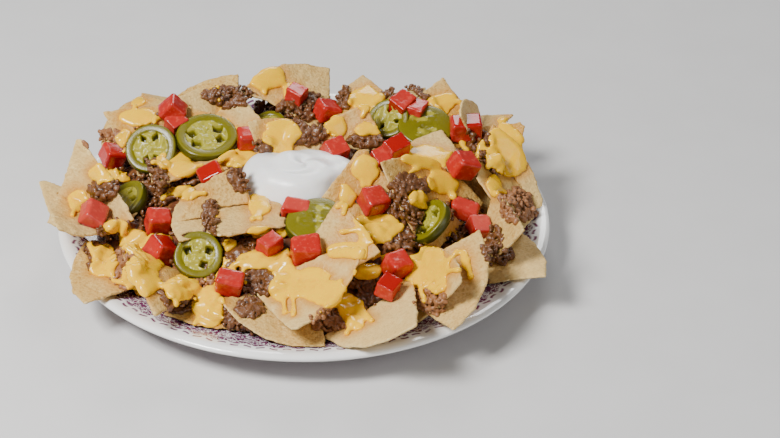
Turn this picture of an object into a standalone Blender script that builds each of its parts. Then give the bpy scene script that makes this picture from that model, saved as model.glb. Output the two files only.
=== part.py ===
"""A plate of loaded nachos: corn chips heaped on a round plate, with ground beef and beans,
cheese sauce, diced tomato, pickled pepper slices and a dollop of sour cream.

Run it with: blender --background --python part.py
Metres, +Z up. The origin is the centre of the plate's foot, on the table, and +X runs to
the right of a diner who looks along +Y. The layout tables are in millimetres and degrees.
"""

import itertools
import math
import random

import bmesh
import bpy
from mathutils import Euler, Matrix, Vector
from mathutils.bvhtree import BVHTree

MM = 0.001
CLEARANCE = 0.4 * MM  # between pieces that lie against each other
HEAP_CLEARANCE = 0.8 * MM  # between the heap and what is pressed into it
MERGE = 0.00001

# Plate
PLATE_RADIUS = 135 * MM
PLATE_HEIGHT = 20 * MM
PLATE_SEGMENTS = 48
FOOT_RADIUS = 74 * MM
FOOT_HEIGHT = 3 * MM  # the rim's underside starts at this height
WELL_RADIUS = 84 * MM
WELL_FLOOR = 6 * MM
LIP_THICKNESS = 5 * MM

# Heap of beef, beans and buried chips
HEAP_RADIUS = 111 * MM
HEAP_TOP = 41 * MM  # height of its crown above the table
HEAP_RIM = 12 * MM  # height that its dome would fall to at HEAP_REACH
HEAP_REACH = 125 * MM
HEAP_SEGMENTS = 28
HEAP_RINGS = 6
HEAP_LUMP = 1.6 * MM

# Chips
CHIP_THICKNESS = 1.8 * MM
CHIP_TIP = 3 * MM  # radius at which the wedge's tip is blunted
CHIP_STEPS = 4
CHIP_CENTRE = 0.6  # a chip's origin, as a share of its radius from the tip

# Pepper slices
SLICE_SIDES = 12
SLICE_THICKNESS = 5.5 * MM
SLICE_WALL = 0.72  # inner radius of the wall, as a share of the slice's radius
SLICE_CORE = 0.4  # radius of the seed core, the same way
SLICE_OPEN = (1, 2, 5, 6, 9, 10)  # sectors where the seed chambers lie open
SLICE_NEARLY_CLOSED = (4, 9)  # the same, on a slice from the pepper's end

# Tomato dice
DICE_LIFT = {"tomato_left_back": 8 * MM}  # a die that lies on loose beef above the heap
DICE_JITTER = 0.16
DICE_BEVEL = 1.2 * MM

# Sour cream
CREAM_PLACE = (-1, -7, 29)
CREAM_WIDTH = 69 * MM
CREAM_DEPTH = 50 * MM
CREAM_HEIGHT = 27 * MM
CREAM_SEGMENTS = 24
CREAM_RINGS = 7
CREAM_TURNS = 1.6  # turns that the spoon left in the swirl

# Each chip: radius, wedge angle, place of its middle, then its turn (the way it faces, its
# lean from lying flat, its spin in its own plane) and its bend (cup across, roll along,
# twist), which is how far the surface rises at its edges.
CHIPS = {
    "chip_front_point": (58, 72, (3, -97, 31), (-74, 26, 65), (7, 8, 5)),
    "chip_front_right_inner": (46, 64, (68, -92, 34), (-77, 57, 13), (2, 2, 1)),
    "chip_front_fold": (58, 66, (-10, -98, 21), (33, 9, 119), (3, 2, 2)),
    "chip_front_right_flat": (58, 62, (41, -114, 28), (-106, 26, -102), (4, 1, -1)),
    "chip_inner_cheesed": (50, 66, (-30, -43, 44), (-1, -2, -33), (0, 2, -1)),
    "chip_diamond": (28, 84, (29, 34, 52), (4, 53, 158), (3, 1, 0)),
    "chip_cream_right": (44, 75, (31, -28, 49), (4, 52, 177), (3, 1, 0)),
    "chip_right_drip": (48, 62, (103, -41, 33), (-81, 53, -115), (1, 3, 0)),
    "chip_front_right_tall": (58, 70, (73, -87, 32), (-51, 24, -56), (3, 2, 1)),
    "chip_centre_right": (58, 78, (67, -26, 43), (51, 50, -44), (2, 2, 0)),
    "chip_left_blade": (54, 66, (-72, -82, 32), (103, 31, 9), (-6, 0, 0)),
    "chip_inner_round": (50, 80, (-50, -35, 41), (-20, 2, 97), (2, 1, -1)),
    "chip_inner_left": (56, 60, (-69, 19, 40), (21, -5, -44), (3, 1, 2)),
    "chip_dome": (50, 80, (69, 6, 47), (0, 5, 61), (0, 1, -1)),
    "chip_front_left_flat": (56, 62, (-50, -90, 18), (15, 7, 165), (-2, 0, 1)),
    "chip_left_rim": (56, 64, (-101, -64, 21), (-25, -1, 119), (3, 0, 1)),
    "chip_right_rim": (56, 75, (104, -47, 20), (-77, 14, 10), (4, -2, 0)),
    "chip_right_arc": (56, 72, (111, -3, 33), (81, 41, -74), (-1, 2, 1)),
    "chip_inner_mid": (50, 70, (-43, -39, 42), (11, 35, 45), (1, 1, 0)),
    "chip_left_peak": (56, 62, (-116, -12, 39), (-30, 73, -162), (3, 2, 0)),
    "chip_left_tip": (62, 58, (-121, -20, 32), (-76, -12, -60), (6, 1, 1)),
    "chip_right_outer": (56, 70, (107, 9, 31), (16, 50, -74), (3, 1, 0)),
    "chip_right_tip": (56, 72, (100, 31, 37), (-7, 23, 137), (3, 1, 1)),
    "chip_back_corner": (52, 80, (-37, 33, 44), (-8, 22, 81), (0, 1, -1)),
    "chip_back_left_wide": (58, 66, (-84, 46, 40), (-20, 22, 12), (5, 0, 1)),
    "chip_back_peak": (56, 64, (-2, 77, 50), (47, 27, -14), (-1, 1, -1)),
    "chip_back_hump": (52, 75, (36, 61, 47), (-6, 15, 81), (-1, 1, -1)),
    "chip_back_right": (56, 75, (79, 50, 42), (21, 29, 53), (1, 1, -1)),
    "chip_back_left_far": (54, 66, (-94, 71, 39), (-93, 21, 161), (-3, 2, -1)),
    "chip_back_far": (54, 66, (-61, 51, 42), (32, 40, 16), (1, 1, -1)),
}

# Each pepper slice: radius, place on the heap (x, y), lean direction, lean, spin, lift.
SLICES = {
    "slice_front_left": (13.5, -55, -65, 0, 38, 20, 3),
    "slice_front": (17, 7, -48, 0, 14, 60, 2),
    "slice_left": (14, -97, -4, -73, 37, 0, 2),
    "slice_back_left": (14.5, -85, 27, -10, 40, 30, 0),
    "slice_back_wide": (18, -54, 34, 15, 14, 80, -1),
    "slice_back": (10.5, -20, 64, -30, 22, 0, -1),
    "slice_back_tucked": (12, 48, 50, -25, 40, 0, 1),
    "slice_back_right": (16, 68, 44, 10, 20, 100, 1),
    "slice_right": (13.5, 67, -42, -79, 43, 10, 4),
}

CLOSED_SLICES = ("slice_front", "slice_back_right")

# Each tomato die: length, width, height, place on the heap (x, y) and turn about X, Y, Z.
DICE = {
    "tomato_back_left_peak": ((13, 13, 13), -73, 51, (0, 45, 0)),
    "tomato_left_back": ((13, 12, 11), -108, 44, (10, 15, 20)),
    "tomato_left": ((14, 14, 11), -113, -29, (25, 40, 10)),
    "tomato_left_inner": ((13, 11, 13), -78, -32, (20, 5, 15)),
    "tomato_left_front": ((14, 13, 13), -76, -55, (10, 30, 35)),
    "tomato_inner": ((13, 11, 11), -50, 0, (20, -30, 10)),
    "tomato_back_wide": ((22, 11, 11), -26, 30, (5, 0, 5)),
    "tomato_back": ((14, 12, 11), 13, 64, (10, 20, 30)),
    "tomato_on_cream": ((15, 11, 11), -4, -38, (15, 8, -10)),
    "tomato_middle": ((14, 13, 12), 37, -34, (20, 10, 30)),
    "tomato_back_right": ((17, 12, 12), 91, 42, (5, 5, 5)),
    "tomato_right_back": ((14, 13, 13), 86, -5, (15, 20, 30)),
    "tomato_right": ((15, 9, 10), 87, -22, (10, 10, -20)),
    "tomato_right_pale": ((11, 11, 11), 94, -32, (25, 10, 15)),
    "tomato_front": ((15, 13, 15), 1, -70, (15, -5, 5)),
    "tomato_front_left": ((14, 12, 13), -38, -86, (15, 10, -10)),
    "tomato_front_right": ((14, 12, 11), 29, -63, (15, 30, 20)),
    "tomato_front_right_low": ((13, 12, 12), 48, -75, (20, 10, 35)),
}


def clear_scene():
    for thing in list(bpy.data.objects):
        bpy.data.objects.remove(thing)


def material(name, colour, roughness):
    made = bpy.data.materials.new(name)
    made.use_nodes = True
    shader = made.node_tree.nodes["Principled BSDF"]
    shader.inputs["Base Color"].default_value = (*colour, 1)
    shader.inputs["Roughness"].default_value = roughness
    return made


def add_object(name, bm, finish=None, matrix=None):
    mesh = bpy.data.meshes.new(name)
    bm.to_mesh(mesh)
    bm.free()
    thing = bpy.data.objects.new(name, mesh)
    bpy.context.collection.objects.link(thing)
    if finish:
        mesh.materials.append(finish)
    if matrix is not None:
        thing.matrix_world = matrix
    return thing


def turned(facing, lean, spin):
    """Spin a piece in its own plane, lean it towards -Y and turn it to face another way."""
    facing, lean, spin = (math.radians(a) for a in (facing, lean, spin))
    stand = Matrix.Rotation(facing, 4, "Z") @ Matrix.Rotation(lean, 4, "X")
    return stand @ Matrix.Rotation(spin, 4, "Z")


def shell(upper, lower):
    """A closed thin shell from a grid of top points and the matching grid of bottom points."""
    bm = bmesh.new()
    top = [[bm.verts.new(p) for p in row] for row in upper]
    bottom = [[bm.verts.new(p) for p in row] for row in lower]
    rows, cols = len(upper), len(upper[0])
    for i in range(rows - 1):
        for j in range(cols - 1):
            for grid in (top, bottom):
                bm.faces.new((grid[i][j], grid[i][j + 1], grid[i + 1][j + 1], grid[i + 1][j]))
    for i in range(rows - 1):
        for j in (0, cols - 1):
            bm.faces.new((top[i][j], top[i + 1][j], bottom[i + 1][j], bottom[i][j]))
    for j in range(cols - 1):
        for i in (0, rows - 1):
            bm.faces.new((top[i][j], top[i][j + 1], bottom[i][j + 1], bottom[i][j]))
    bmesh.ops.recalc_face_normals(bm, faces=bm.faces)
    return bm


# ---------------------------------------------------------------- plate


def plate_top_profile():
    """Radius and height of the upper side, from the centre out to the lip."""
    return [
        (0, WELL_FLOOR),
        (WELL_RADIUS - 6 * MM, WELL_FLOOR + 0.4 * MM),
        (WELL_RADIUS + 4 * MM, WELL_FLOOR + 2.5 * MM),
        (WELL_RADIUS + 14 * MM, WELL_FLOOR + 6 * MM),
        (PLATE_RADIUS - 6 * MM, PLATE_HEIGHT - 0.6 * MM),
    ]


def plate_profile():
    under = [
        (0, 0),
        (FOOT_RADIUS, 0),
        (FOOT_RADIUS + 2 * MM, FOOT_HEIGHT),
        (WELL_RADIUS + 12 * MM, PLATE_HEIGHT * 0.42),
        (PLATE_RADIUS - 7 * MM, PLATE_HEIGHT - LIP_THICKNESS - 0.5 * MM),
    ]
    half = LIP_THICKNESS / 2
    middle = PLATE_HEIGHT - half
    rolled = []
    for degrees in (-60, -20, 20, 60, 100):
        a = math.radians(degrees)
        rolled.append((PLATE_RADIUS - half + half * math.cos(a), middle + half * math.sin(a)))
    return under + rolled + plate_top_profile()[::-1]


def plate_top(radius):
    """Height of the plate's upper side at a distance from its centre."""
    profile = plate_top_profile()
    for (r0, z0), (r1, z1) in zip(profile, profile[1:]):
        if radius <= r1:
            return z0 + (z1 - z0) * (radius - r0) / (r1 - r0)
    return profile[-1][1]


def make_plate(finish):
    bm = bmesh.new()
    verts = [bm.verts.new((r, 0, z)) for r, z in plate_profile()]
    edges = [bm.edges.new(pair) for pair in zip(verts, verts[1:])]
    bmesh.ops.spin(
        bm, geom=verts + edges, axis=(0, 0, 1), cent=(0, 0, 0), steps=PLATE_SEGMENTS, angle=math.tau
    )
    bmesh.ops.remove_doubles(bm, verts=bm.verts, dist=MERGE)
    bmesh.ops.recalc_face_normals(bm, faces=bm.faces)
    return add_object("plate", bm, finish)


# ---------------------------------------------------------------- heap


def heap_height(x, y):
    """Height of the heap's uneven upper side."""
    radius = math.hypot(x, y)
    dome = HEAP_RIM + (HEAP_TOP + 2 * MM - HEAP_RIM) * max(0, 1 - (radius / HEAP_REACH) ** 2)
    waves = math.sin(x * 83 + y * 41) + math.sin(y * 97 - x * 29 + 1) + math.sin(x * 151 + 2)
    return dome + HEAP_LUMP * waves / 3


def make_heap(finish):
    bm = bmesh.new()
    floor_radii = [WELL_RADIUS - 6 * MM, WELL_RADIUS + 4 * MM, WELL_RADIUS + 14 * MM, HEAP_RADIUS]
    dome_radii = [HEAP_RADIUS * i / HEAP_RINGS for i in range(HEAP_RINGS, 0, -1)]
    rings = []
    for r in floor_radii:
        rings.append([(r, plate_top(r) + CLEARANCE)] * HEAP_SEGMENTS)
    for r in dome_radii:
        ring = []
        for i in range(HEAP_SEGMENTS):
            a = math.tau * i / HEAP_SEGMENTS
            lowest = plate_top(r) + 2 * MM
            ring.append((r, max(lowest, heap_height(r * math.cos(a), r * math.sin(a)))))
        rings.append(ring)
    loops = []
    for ring in rings:
        loop = []
        for i, (r, z) in enumerate(ring):
            a = math.tau * i / HEAP_SEGMENTS
            loop.append(bm.verts.new((r * math.cos(a), r * math.sin(a), z)))
        loops.append(loop)
    for inner, outer in zip(loops, loops[1:]):
        for i in range(HEAP_SEGMENTS):
            j = (i + 1) % HEAP_SEGMENTS
            bm.faces.new((inner[i], inner[j], outer[j], outer[i]))
    for loop, height in ((loops[0], WELL_FLOOR + CLEARANCE), (loops[-1], heap_height(0, 0))):
        centre = bm.verts.new((0, 0, height))
        for i in range(HEAP_SEGMENTS):
            bm.faces.new((loop[i], loop[(i + 1) % HEAP_SEGMENTS], centre))
    bmesh.ops.recalc_face_normals(bm, faces=bm.faces)
    return add_object("heap", bm, finish)


# ---------------------------------------------------------------- chips


def chip_shape(radius, angle, bend, extra=0.0):
    """A wedge of a round tortilla, bent as it fried. Its tip points to -Y."""
    radius *= MM
    cup, roll, twist = (b * MM for b in bend)
    half = math.radians(angle) / 2
    half_width = radius * math.sin(half)
    upper, lower = [], []
    for i in range(CHIP_STEPS + 1):
        reach = CHIP_TIP + (radius - CHIP_TIP) * i / CHIP_STEPS
        out = reach + extra * (2 * i / CHIP_STEPS - 1)
        over, under = [], []
        for j in range(CHIP_STEPS + 1):
            side = 2 * j / CHIP_STEPS - 1
            x = out * math.sin(half * side) + extra * side
            y = out * math.cos(half * side) - CHIP_CENTRE * radius
            across, along = x / half_width, y / (radius / 2)
            z = cup * across**2 + roll * along**2 + twist * across * along
            over.append((x, y, z + CHIP_THICKNESS / 2 + extra))
            under.append((x, y, z - CHIP_THICKNESS / 2 - extra))
        upper.append(over)
        lower.append(under)
    return shell(upper, lower)


def chip_slab(radius, angle, bend, extra):
    """A flat wedge that a chip fits inside, for a plain slot in the heap."""
    cup, roll, twist = bend
    lifts = [cup * x * x + roll * y * y + twist * x * y for x in (-1, 0, 1) for y in (-1.2, 0, 0.8)]
    low = min(lifts) * MM - CHIP_THICKNESS / 2 - extra
    high = max(lifts) * MM + CHIP_THICKNESS / 2 + extra
    half = math.radians(angle) / 2
    radius *= MM
    outline = [(CHIP_TIP + extra, -1), (CHIP_TIP + extra, 1), (radius + extra, 1)]
    outline += [((radius + extra) / math.cos(half / 2) ** 2, 0), (radius + extra, -1)]
    bm = bmesh.new()
    loops = []
    for z in (low, high):
        loop = []
        for reach, side in outline:
            x = reach * math.sin(half * side) + extra * side
            y = reach * math.cos(half * side) - CHIP_CENTRE * radius - (extra if reach < radius else 0)
            loop.append(bm.verts.new((x, y, z)))
        bm.faces.new(loop)
        loops.append(loop)
    for i in range(len(outline)):
        j = (i + 1) % len(outline)
        bm.faces.new((loops[0][i], loops[0][j], loops[1][j], loops[1][i]))
    bmesh.ops.recalc_face_normals(bm, faces=bm.faces)
    return bm


def chip_matrix(place, turn):
    return Matrix.Translation(Vector(place) * MM) @ turned(*turn)


def make_chips(finish):
    chips = []
    for name, (radius, angle, place, turn, bend) in CHIPS.items():
        chip = add_object(name, chip_shape(radius, angle, bend), finish, chip_matrix(place, turn))
        chips.append(chip)
    return chips


# ---------------------------------------------------------------- toppings


class Surface:
    """What the toppings drop onto: the heap and the chips as they lie."""

    def __init__(self, things):
        self.trees = []
        for thing in things:
            bm = bmesh.new()
            bm.from_mesh(thing.data)
            bm.transform(thing.matrix_world)
            self.trees.append(BVHTree.FromBMesh(bm))
            bm.free()

    def height(self, x, y):
        best = plate_top(math.hypot(x, y))
        for tree in self.trees:
            hit = tree.ray_cast(Vector((x, y, 0.2)), Vector((0, 0, -1)))[0]
            if hit and hit.z > best:
                best = hit.z
        return best


def slice_shape(radius, chambers):
    """A ring of pepper with its seed core, ribs and open seed chambers."""
    bm = bmesh.new()
    radii = [SLICE_CORE * radius, SLICE_WALL * radius, radius]
    half = SLICE_THICKNESS / 2
    levels = []
    for z in (-half, half):
        loops = []
        for r in radii:
            points = [math.tau * i / SLICE_SIDES for i in range(SLICE_SIDES)]
            loops.append([bm.verts.new((r * math.cos(a), r * math.sin(a), z)) for a in points])
        centre = bm.verts.new((0, 0, z))
        levels.append((loops, centre))
    for i in range(SLICE_SIDES):
        j = (i + 1) % SLICE_SIDES
        for loops, centre in levels:
            bm.faces.new((centre, loops[0][i], loops[0][j]))
            bm.faces.new((loops[1][i], loops[1][j], loops[2][j], loops[2][i]))
            if i not in chambers:
                bm.faces.new((loops[0][i], loops[0][j], loops[1][j], loops[1][i]))
        (low, _), (high, _) = levels
        bm.faces.new((low[2][i], low[2][j], high[2][j], high[2][i]))
        if i in chambers:
            bm.faces.new((low[0][i], low[0][j], high[0][j], high[0][i]))
            bm.faces.new((low[1][i], low[1][j], high[1][j], high[1][i]))
        if (i in chambers) != (j in chambers):
            bm.faces.new((low[0][j], low[1][j], high[1][j], high[0][j]))
    bmesh.ops.recalc_face_normals(bm, faces=bm.faces)
    return bm


def disc_shape(radius, thickness):
    """A plain disc with the same corners as a slice."""
    bm = bmesh.new()
    loops = []
    for z in (-thickness / 2, thickness / 2):
        points = [math.tau * i / SLICE_SIDES for i in range(SLICE_SIDES)]
        loops.append([bm.verts.new((radius * math.cos(a), radius * math.sin(a), z)) for a in points])
    for i in range(SLICE_SIDES):
        j = (i + 1) % SLICE_SIDES
        bm.faces.new((loops[0][i], loops[0][j], loops[1][j], loops[1][i]))
    for loop in loops:
        bm.faces.new(loop)
    bmesh.ops.recalc_face_normals(bm, faces=bm.faces)
    return bm


def make_slices(finish, surface):
    slices = []
    for name, (radius, x, y, facing, lean, spin, lift) in SLICES.items():
        chambers = SLICE_NEARLY_CLOSED if name in CLOSED_SLICES else SLICE_OPEN
        z = surface.height(x * MM, y * MM) + (SLICE_THICKNESS / 2 + lift * MM)
        place = Matrix.Translation((x * MM, y * MM, z)) @ turned(facing, lean, spin)
        slices.append(add_object(name, slice_shape(radius * MM, chambers), finish, place))
    return slices


def dice_shape(size, seed, extra=0.0):
    """An uneven block of tomato, with its edges taken off unless it is a cutter."""
    rng = random.Random(seed)
    bm = bmesh.new()
    for corner in itertools.product((-0.5, 0.5), repeat=3):
        lengths = [s * MM * (1 + rng.uniform(-DICE_JITTER, DICE_JITTER)) + 2 * extra for s in size]
        bm.verts.new([c * s for c, s in zip(corner, lengths)])
    bmesh.ops.convex_hull(bm, input=bm.verts[:])
    if not extra:
        bmesh.ops.dissolve_limit(
            bm, angle_limit=math.radians(18), verts=bm.verts[:], edges=bm.edges[:]
        )
        bmesh.ops.bevel(
            bm, geom=bm.edges[:], offset=DICE_BEVEL, segments=1, profile=0.5, affect="EDGES"
        )
    bmesh.ops.recalc_face_normals(bm, faces=bm.faces)
    return bm


def dice_matrix(name, surface):
    size, x, y, turn = DICE[name]
    z = surface.height(x * MM, y * MM) + size[2] * MM * 0.45 + DICE_LIFT.get(name, 0)
    spin = Euler([math.radians(a) for a in turn]).to_matrix().to_4x4()
    return Matrix.Translation((x * MM, y * MM, z)) @ spin


def make_dice(finish, surface):
    dice = []
    for name, spec in DICE.items():
        shape = dice_shape(spec[0], name)
        dice.append(add_object(name, shape, finish, dice_matrix(name, surface)))
    return dice


def make_cream(finish):
    """A spooned dollop: a lobed outline, and a ridge that winds up to an off-centre peak."""
    bm = bmesh.new()
    loops = []
    for k in range(CREAM_RINGS + 1):
        share = 1 - k / CREAM_RINGS
        loop = []
        for i in range(CREAM_SEGMENTS):
            a = math.tau * i / CREAM_SEGMENTS
            lobes = 1 + 0.07 * math.sin(3 * a + 0.6) + 0.05 * math.sin(5 * a + 2)
            reach = math.sin(math.pi / 2 * share**0.8) * lobes
            swirl = math.sin(a - math.tau * CREAM_TURNS * share)
            height = CREAM_HEIGHT * ((1 - share**2.4) + 0.07 * swirl * math.sin(math.pi * share))
            x = reach * CREAM_WIDTH / 2 * math.cos(a) - 4 * MM * (1 - share)
            y = reach * CREAM_DEPTH / 2 * math.sin(a)
            loop.append(bm.verts.new((x, y, height)))
        loops.append(loop)
        if k == CREAM_RINGS - 1:
            break
    for outer, inner in zip(loops, loops[1:]):
        for i in range(CREAM_SEGMENTS):
            j = (i + 1) % CREAM_SEGMENTS
            bm.faces.new((outer[i], outer[j], inner[j], inner[i]))
    peak = bm.verts.new((-4 * MM, 0, CREAM_HEIGHT))
    foot = bm.verts.new((0, 0, 0))
    for i in range(CREAM_SEGMENTS):
        j = (i + 1) % CREAM_SEGMENTS
        bm.faces.new((loops[-1][i], loops[-1][j], peak))
        bm.faces.new((loops[0][i], loops[0][j], foot))
    bmesh.ops.recalc_face_normals(bm, faces=bm.faces)
    return add_object("sour_cream", bm, finish, Matrix.Translation(Vector(CREAM_PLACE) * MM))


# ---------------------------------------------------------------- fitting the pieces together


def world_box(thing):
    corners = [thing.matrix_world @ Vector(c) for c in thing.bound_box]
    low = [min(c[i] for c in corners) for i in range(3)]
    high = [max(c[i] for c in corners) for i in range(3)]
    return low, high


def boxes_meet(one, other):
    (low_a, high_a), (low_b, high_b) = one, other
    return all(low_a[i] <= high_b[i] and low_b[i] <= high_a[i] for i in range(3))


def keep_largest_body(bm):
    """Drop the crumbs that a cut leaves beside a piece's main body."""
    unseen = set(bm.verts)
    bodies = []
    while unseen:
        stack = [unseen.pop()]
        body = list(stack)
        while stack:
            for edge in stack.pop().link_edges:
                for vert in edge.verts:
                    if vert in unseen:
                        unseen.remove(vert)
                        stack.append(vert)
                        body.append(vert)
        bodies.append(body)
    bodies.sort(key=lambda body: body_volume(body), reverse=True)
    for body in bodies[1:]:
        bmesh.ops.delete(bm, geom=body, context="VERTS")


def body_volume(body):
    faces = {face for vert in body for face in vert.link_faces}
    total = 0
    for face in faces:
        points = [loop.vert.co for loop in face.loops]
        for one, other in zip(points[1:], points[2:]):
            total += points[0].dot(one.cross(other)) / 6
    return total


def cut(thing, cutters):
    """Take every cutter that reaches a piece away from it, and keep its main body."""
    box = world_box(thing)
    used = [cutter for cutter in cutters if boxes_meet(box, world_box(cutter))]
    if not used:
        return
    for cutter in used:
        modifier = thing.modifiers.new("cut", "BOOLEAN")
        modifier.operation = "DIFFERENCE"
        modifier.solver = "EXACT"
        modifier.object = cutter
    bpy.context.view_layer.update()
    evaluated = thing.evaluated_get(bpy.context.evaluated_depsgraph_get())
    bm = bmesh.new()
    bm.from_mesh(evaluated.to_mesh())
    evaluated.to_mesh_clear()
    thing.modifiers.clear()
    bmesh.ops.remove_doubles(bm, verts=bm.verts, dist=MERGE)
    keep_largest_body(bm)
    bm.to_mesh(thing.data)
    bm.free()


def hide_cutter(cutter):
    cutter.hide_render = True
    cutter.display_type = "WIRE"
    return cutter


def chip_cutter(name, shape, extra):
    radius, angle, place, turn, bend = CHIPS[name]
    bm = shape(radius, angle, bend, extra)
    return hide_cutter(add_object("cutter_" + name, bm, None, chip_matrix(place, turn)))


def slice_cutter(thing, extra):
    radius = SLICES[thing.name][0] * MM + extra
    shape = disc_shape(radius, SLICE_THICKNESS + 2 * extra)
    return hide_cutter(add_object("cutter_" + thing.name, shape, None, thing.matrix_world))


def dice_cutter(thing, extra):
    shape = dice_shape(DICE[thing.name][0], thing.name, extra)
    return hide_cutter(add_object("cutter_" + thing.name, shape, None, thing.matrix_world))


def swollen_copy(thing, extra):
    """A cutter that stands out from a rounded piece by the clearance."""
    bm = bmesh.new()
    bm.from_mesh(thing.data)
    bm.normal_update()
    for vert in bm.verts:
        vert.co += vert.normal * extra
    return hide_cutter(add_object("cutter_" + thing.name, bm, None, thing.matrix_world))


def remove(things):
    for thing in things:
        bpy.data.objects.remove(thing)


def fit_together(plate, heap, cream, slices, dice, chips):
    """Cut each piece clear of the ones that come before it, toppings first and heap last."""
    cutters = [swollen_copy(plate, CLEARANCE), swollen_copy(cream, CLEARANCE)]
    for thing in slices:
        cut(thing, cutters)
        cutters.append(slice_cutter(thing, CLEARANCE))
    for thing in dice:
        cut(thing, cutters)
        cutters.append(dice_cutter(thing, CLEARANCE))
    for thing in chips:
        cut(thing, cutters)
        cutters.append(chip_cutter(thing.name, chip_shape, CLEARANCE))
    remove(cutters)
    cutters = [swollen_copy(cream, HEAP_CLEARANCE)]
    cutters += [slice_cutter(thing, HEAP_CLEARANCE) for thing in slices]
    cutters += [dice_cutter(thing, HEAP_CLEARANCE) for thing in dice]
    cutters += [chip_cutter(thing.name, chip_slab, HEAP_CLEARANCE) for thing in chips]
    cut(heap, cutters)
    remove(cutters)


def shade(things):
    for thing in things:
        thing.data.shade_smooth()
        thing.data.set_sharp_from_angle(angle=math.radians(40))


def main():
    clear_scene()
    plate = make_plate(material("glazed_china", (0.85, 0.84, 0.82), 0.15))
    heap = make_heap(material("beef_and_beans", (0.2, 0.07, 0.03), 0.5))
    cream = make_cream(material("sour_cream", (0.9, 0.89, 0.86), 0.3))
    chips = make_chips(material("corn_chip", (0.75, 0.52, 0.26), 0.65))
    bpy.context.view_layer.update()
    surface = Surface([heap, cream] + chips)
    slices = make_slices(material("pickled_pepper", (0.25, 0.24, 0.04), 0.3), surface)
    dice = make_dice(material("tomato", (0.55, 0.03, 0.02), 0.25), surface)
    bpy.context.view_layer.update()
    fit_together(plate, heap, cream, slices, dice, chips)
    shade([plate, heap, cream] + slices + dice + chips)


main()
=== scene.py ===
"""The looks of the plate of loaded nachos: china plate, fried corn chips, ground beef, beans,
cheese sauce, tomato dice, pickled pepper slices and sour cream.

Lengths are metres, or shares of the plate's radius where a comment says so. +X is to the
right of a diner who looks along +Y, and the table is at height 0.
"""

import math

import bmesh
import bpy
import numpy as np
from mathutils import Matrix, Vector
from mathutils.bvhtree import BVHTree
from mathutils.kdtree import KDTree


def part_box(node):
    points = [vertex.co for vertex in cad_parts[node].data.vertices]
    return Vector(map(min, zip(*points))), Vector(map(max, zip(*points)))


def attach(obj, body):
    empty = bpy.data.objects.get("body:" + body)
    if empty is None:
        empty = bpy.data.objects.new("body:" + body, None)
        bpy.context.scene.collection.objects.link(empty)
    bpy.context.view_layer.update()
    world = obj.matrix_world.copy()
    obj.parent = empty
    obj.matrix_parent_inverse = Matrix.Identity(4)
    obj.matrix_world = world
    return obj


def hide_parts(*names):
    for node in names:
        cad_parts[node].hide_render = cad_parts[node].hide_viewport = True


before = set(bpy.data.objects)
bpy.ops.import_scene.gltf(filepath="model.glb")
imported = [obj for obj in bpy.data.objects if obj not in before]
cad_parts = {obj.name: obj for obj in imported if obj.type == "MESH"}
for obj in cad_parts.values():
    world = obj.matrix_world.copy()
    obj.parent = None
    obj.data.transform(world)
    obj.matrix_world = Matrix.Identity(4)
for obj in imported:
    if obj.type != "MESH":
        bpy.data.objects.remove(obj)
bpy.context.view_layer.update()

MM = 0.001
PLATE_LOW, PLATE_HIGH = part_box("plate")
RADIUS = (PLATE_HIGH.x - PLATE_LOW.x) / 2
PLATE_TOP = PLATE_HIGH.z

# Camera: how far it looks down, its distance, its aim and its lens.
LOOK_DOWN = math.radians(32.9)
CAMERA_DISTANCE = 8.9 * RADIUS
AIM_HEIGHT = 0.112 * RADIUS
LENS = 100.3
SIDE_SHIFT = 0.1105

# Layout: places and half sizes are shares of the plate's radius (u to the right, v away from
# the diner), on the level of the plate's rim as the diner's camera sees it.
SAUCE = (
    (-0.70, 0.77, 0.09, 0.07),
    (-0.73, 0.90, 0.04, 0.05),
    (-0.77, 0.55, 0.03, 0.10),
    (-0.81, 0.30, 0.08, 0.07),
    (-0.92, 0.08, 0.04, 0.08),
    (-0.76, -0.11, 0.04, 0.04),
    (-0.79, -0.35, 0.06, 0.14),
    (-0.68, -0.22, 0.07, 0.07),
    (-0.62, -0.46, 0.08, 0.17),
    (-0.51, 0.15, 0.07, 0.06),
    (-0.53, 0.40, 0.08, 0.15),
    (-0.28, 0.42, 0.07, 0.08),
    (-0.19, 0.07, 0.05, 0.10),
    (-0.29, -0.24, 0.03, 0.03),
    (-0.15, -0.16, 0.08, 0.05),
    (-0.10, 0.62, 0.08, 0.14),
    (0.28, 0.93, 0.08, 0.10),
    (0.14, 0.70, 0.04, 0.09),
    (0.26, 0.32, 0.05, 0.12),
    (0.28, 0.66, 0.05, 0.06),
    (0.18, 0.13, 0.05, 0.12),
    (0.29, -0.10, 0.10, 0.11),
    (0.54, 0.43, 0.13, 0.09),
    (0.58, 0.22, 0.05, 0.09),
    (0.48, 0.08, 0.04, 0.07),
    (0.68, 0.57, 0.03, 0.08),
    (0.79, 0.20, 0.03, 0.08),
    (0.88, 0.49, 0.09, 0.21),
    (-0.18, -0.35, 0.09, 0.08),
    (-0.07, -0.49, 0.05, 0.18),
    (0.06, -0.58, 0.13, 0.08),
    (0.17, -0.29, 0.07, 0.05),
    (0.04, -0.46, 0.06, 0.05),
    (0.19, -0.69, 0.05, 0.13),
    (-0.36, -0.69, 0.06, 0.13),
    (-0.48, -0.53, 0.06, 0.10),
    (0.49, -0.41, 0.11, 0.16),
    (0.64, -0.37, 0.03, 0.09),
    (0.25, -0.44, 0.05, 0.05),
    (-0.15, 1.11, 0.07, 0.10),
    (0.62, 0.88, 0.07, 0.08),
)
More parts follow.
